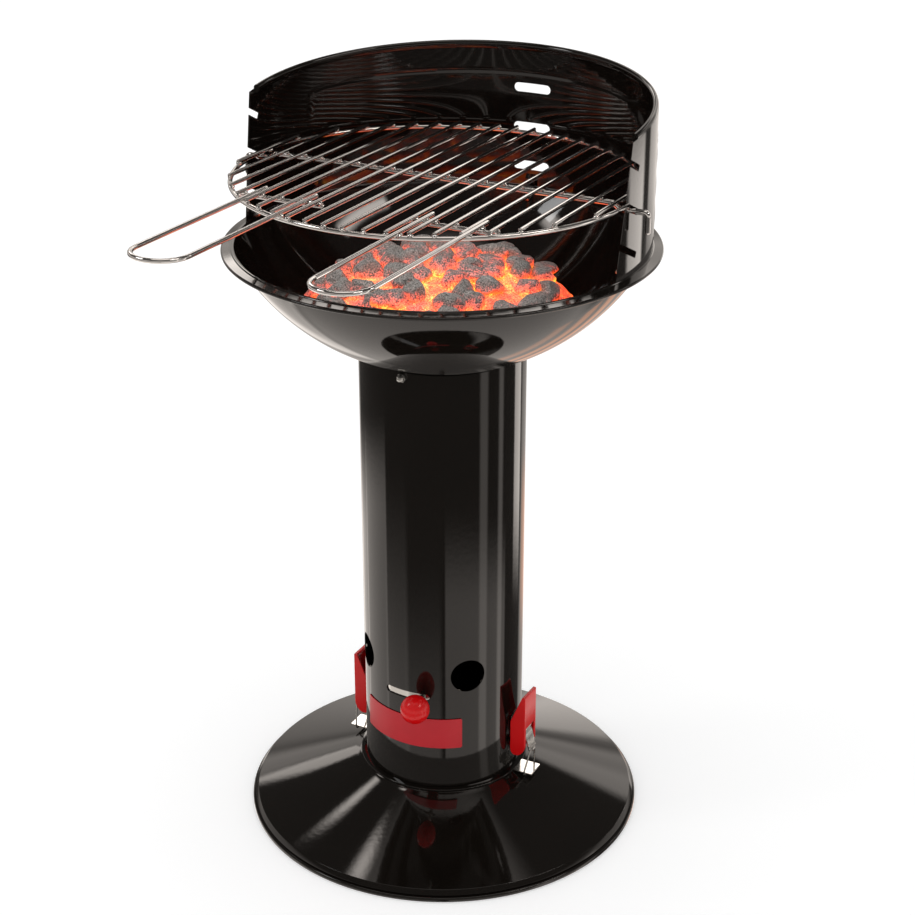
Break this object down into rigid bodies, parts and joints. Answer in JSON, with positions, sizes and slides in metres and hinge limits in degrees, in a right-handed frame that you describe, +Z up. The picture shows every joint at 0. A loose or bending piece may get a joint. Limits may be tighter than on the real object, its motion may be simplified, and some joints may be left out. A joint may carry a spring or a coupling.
{
  "type": "charcoal grill",
  "caption": "Round charcoal grill on a column with a disc foot, turning air damper, bowl, half-round windscreen and a wire cooking grid that hangs in notches.",
  "frame": {"origin": "point on the column's axis at floor level, in the flat underside of the water pan", "axes": "+Z up along the column, -Y towards the front with knob, label and grid handles, +X to the right seen from the back"},
  "size_m": [0.4778, 0.6346, 0.8555],
  "materials": {
    "black_enamel": "gloss enamel",
    "polished_steel": "polished",
    "brushed_steel": "satin",
    "red_plastic": "gloss",
    "red_label": "satin print, bare",
    "chrome_wire": "bright chrome",
    "grate_steel": "dull steel",
    "charcoal": "burning charcoal, dull"
  },
  "bodies": {
    "stand": {"foot": "black_enamel", "water_pan": "polished_steel", "column": "black_enamel", "label_plate": "red_label", "bowl": "black_enamel", "windscreen": "black_enamel", "charcoal_grate": "grate_steel", "charcoal_bed": "charcoal", "screen_bolt_back": "polished_steel", "clip_pin_right": "brushed_steel", "clip_bracket_right": "brushed_steel", "clip_rivet_right_0": "brushed_steel", "clip_rivet_right_1": "brushed_steel", "screen_nut_right": "polished_steel", "clip_pin_left": "brushed_steel", "clip_bracket_left": "brushed_steel", "clip_rivet_left_0": "brushed_steel", "clip_rivet_left_1": "brushed_steel", "screen_nut_left": "polished_steel", "bowl_screw_0": "polished_steel", "bowl_screw_120": "polished_steel", "bowl_screw_240": "polished_steel"},
    "damper": {"damper_sleeve": "polished_steel", "damper_stud": "brushed_steel", "ball_knob": "red_plastic"},
    "grid": {"grid_ring": "chrome_wire", "grid_crossbar": "chrome_wire", "grid_short_bar_right": "chrome_wire", "grid_handle_right": "chrome_wire", "grid_short_bar_left": "chrome_wire", "grid_handle_left": "chrome_wire", "grid_rod_00": "chrome_wire", "grid_rod_01": "chrome_wire", "grid_rod_02": "chrome_wire", "grid_rod_03": "chrome_wire", "grid_rod_04": "chrome_wire", "grid_rod_05": "chrome_wire", "grid_rod_06": "chrome_wire", "grid_rod_07": "chrome_wire", "grid_rod_08": "chrome_wire", "grid_rod_09": "chrome_wire", "grid_rod_10": "chrome_wire", "grid_rod_11": "chrome_wire", "grid_rod_12": "chrome_wire", "grid_rod_13": "chrome_wire", "grid_rod_14": "chrome_wire", "grid_rod_15": "chrome_wire", "grid_rod_16": "chrome_wire", "grid_rod_17": "chrome_wire", "grid_rod_18": "chrome_wire", "grid_rod_19": "chrome_wire"},
    "lever_right": {"clip_hood_right": "red_plastic"},
    "lever_left": {"clip_hood_left": "red_plastic"},
    "link_right": {"clip_tongue_right": "brushed_steel", "clip_bail_right": "brushed_steel"},
    "link_left": {"clip_tongue_left": "brushed_steel", "clip_bail_left": "brushed_steel"}
  },
  "joints": [
    {"name": "grid_slide", "type": "slide", "parent": "stand", "child": "grid", "axis": [0, -0.8942, 0.4478], "range_m": [0, 0.24]},
    {"name": "damper_turn", "type": "hinge", "parent": "stand", "child": "damper", "pos_m": [0, 0, 0.177], "axis": [0, 0, 1], "range_deg": [-27.2, 3.8]},
    {"name": "clip_lever_right", "type": "hinge", "parent": "stand", "child": "lever_right", "pos_m": [0.103, 0, 0.09], "axis": [0, 1, 0], "range_deg": [0, 75]},
    {"name": "clip_link_right", "type": "hinge", "parent": "lever_right", "child": "link_right", "pos_m": [0.109, 0, 0.113], "axis": [0, -1, 0], "range_deg": [0, 105]},
    {"name": "clip_lever_left", "type": "hinge", "parent": "stand", "child": "lever_left", "pos_m": [-0.103, 0, 0.09], "axis": [0, -1, 0], "range_deg": [0, 75]},
    {"name": "clip_link_left", "type": "hinge", "parent": "lever_left", "child": "link_left", "pos_m": [-0.109, 0, 0.113], "axis": [0, 1, 0], "range_deg": [0, 105]}
  ],
  "couplings": [
    {"joint": "clip_link_right", "follows": "clip_lever_right", "ratio": 1.4},
    {"joint": "clip_link_left", "follows": "clip_lever_left", "ratio": 1.4}
  ]
}
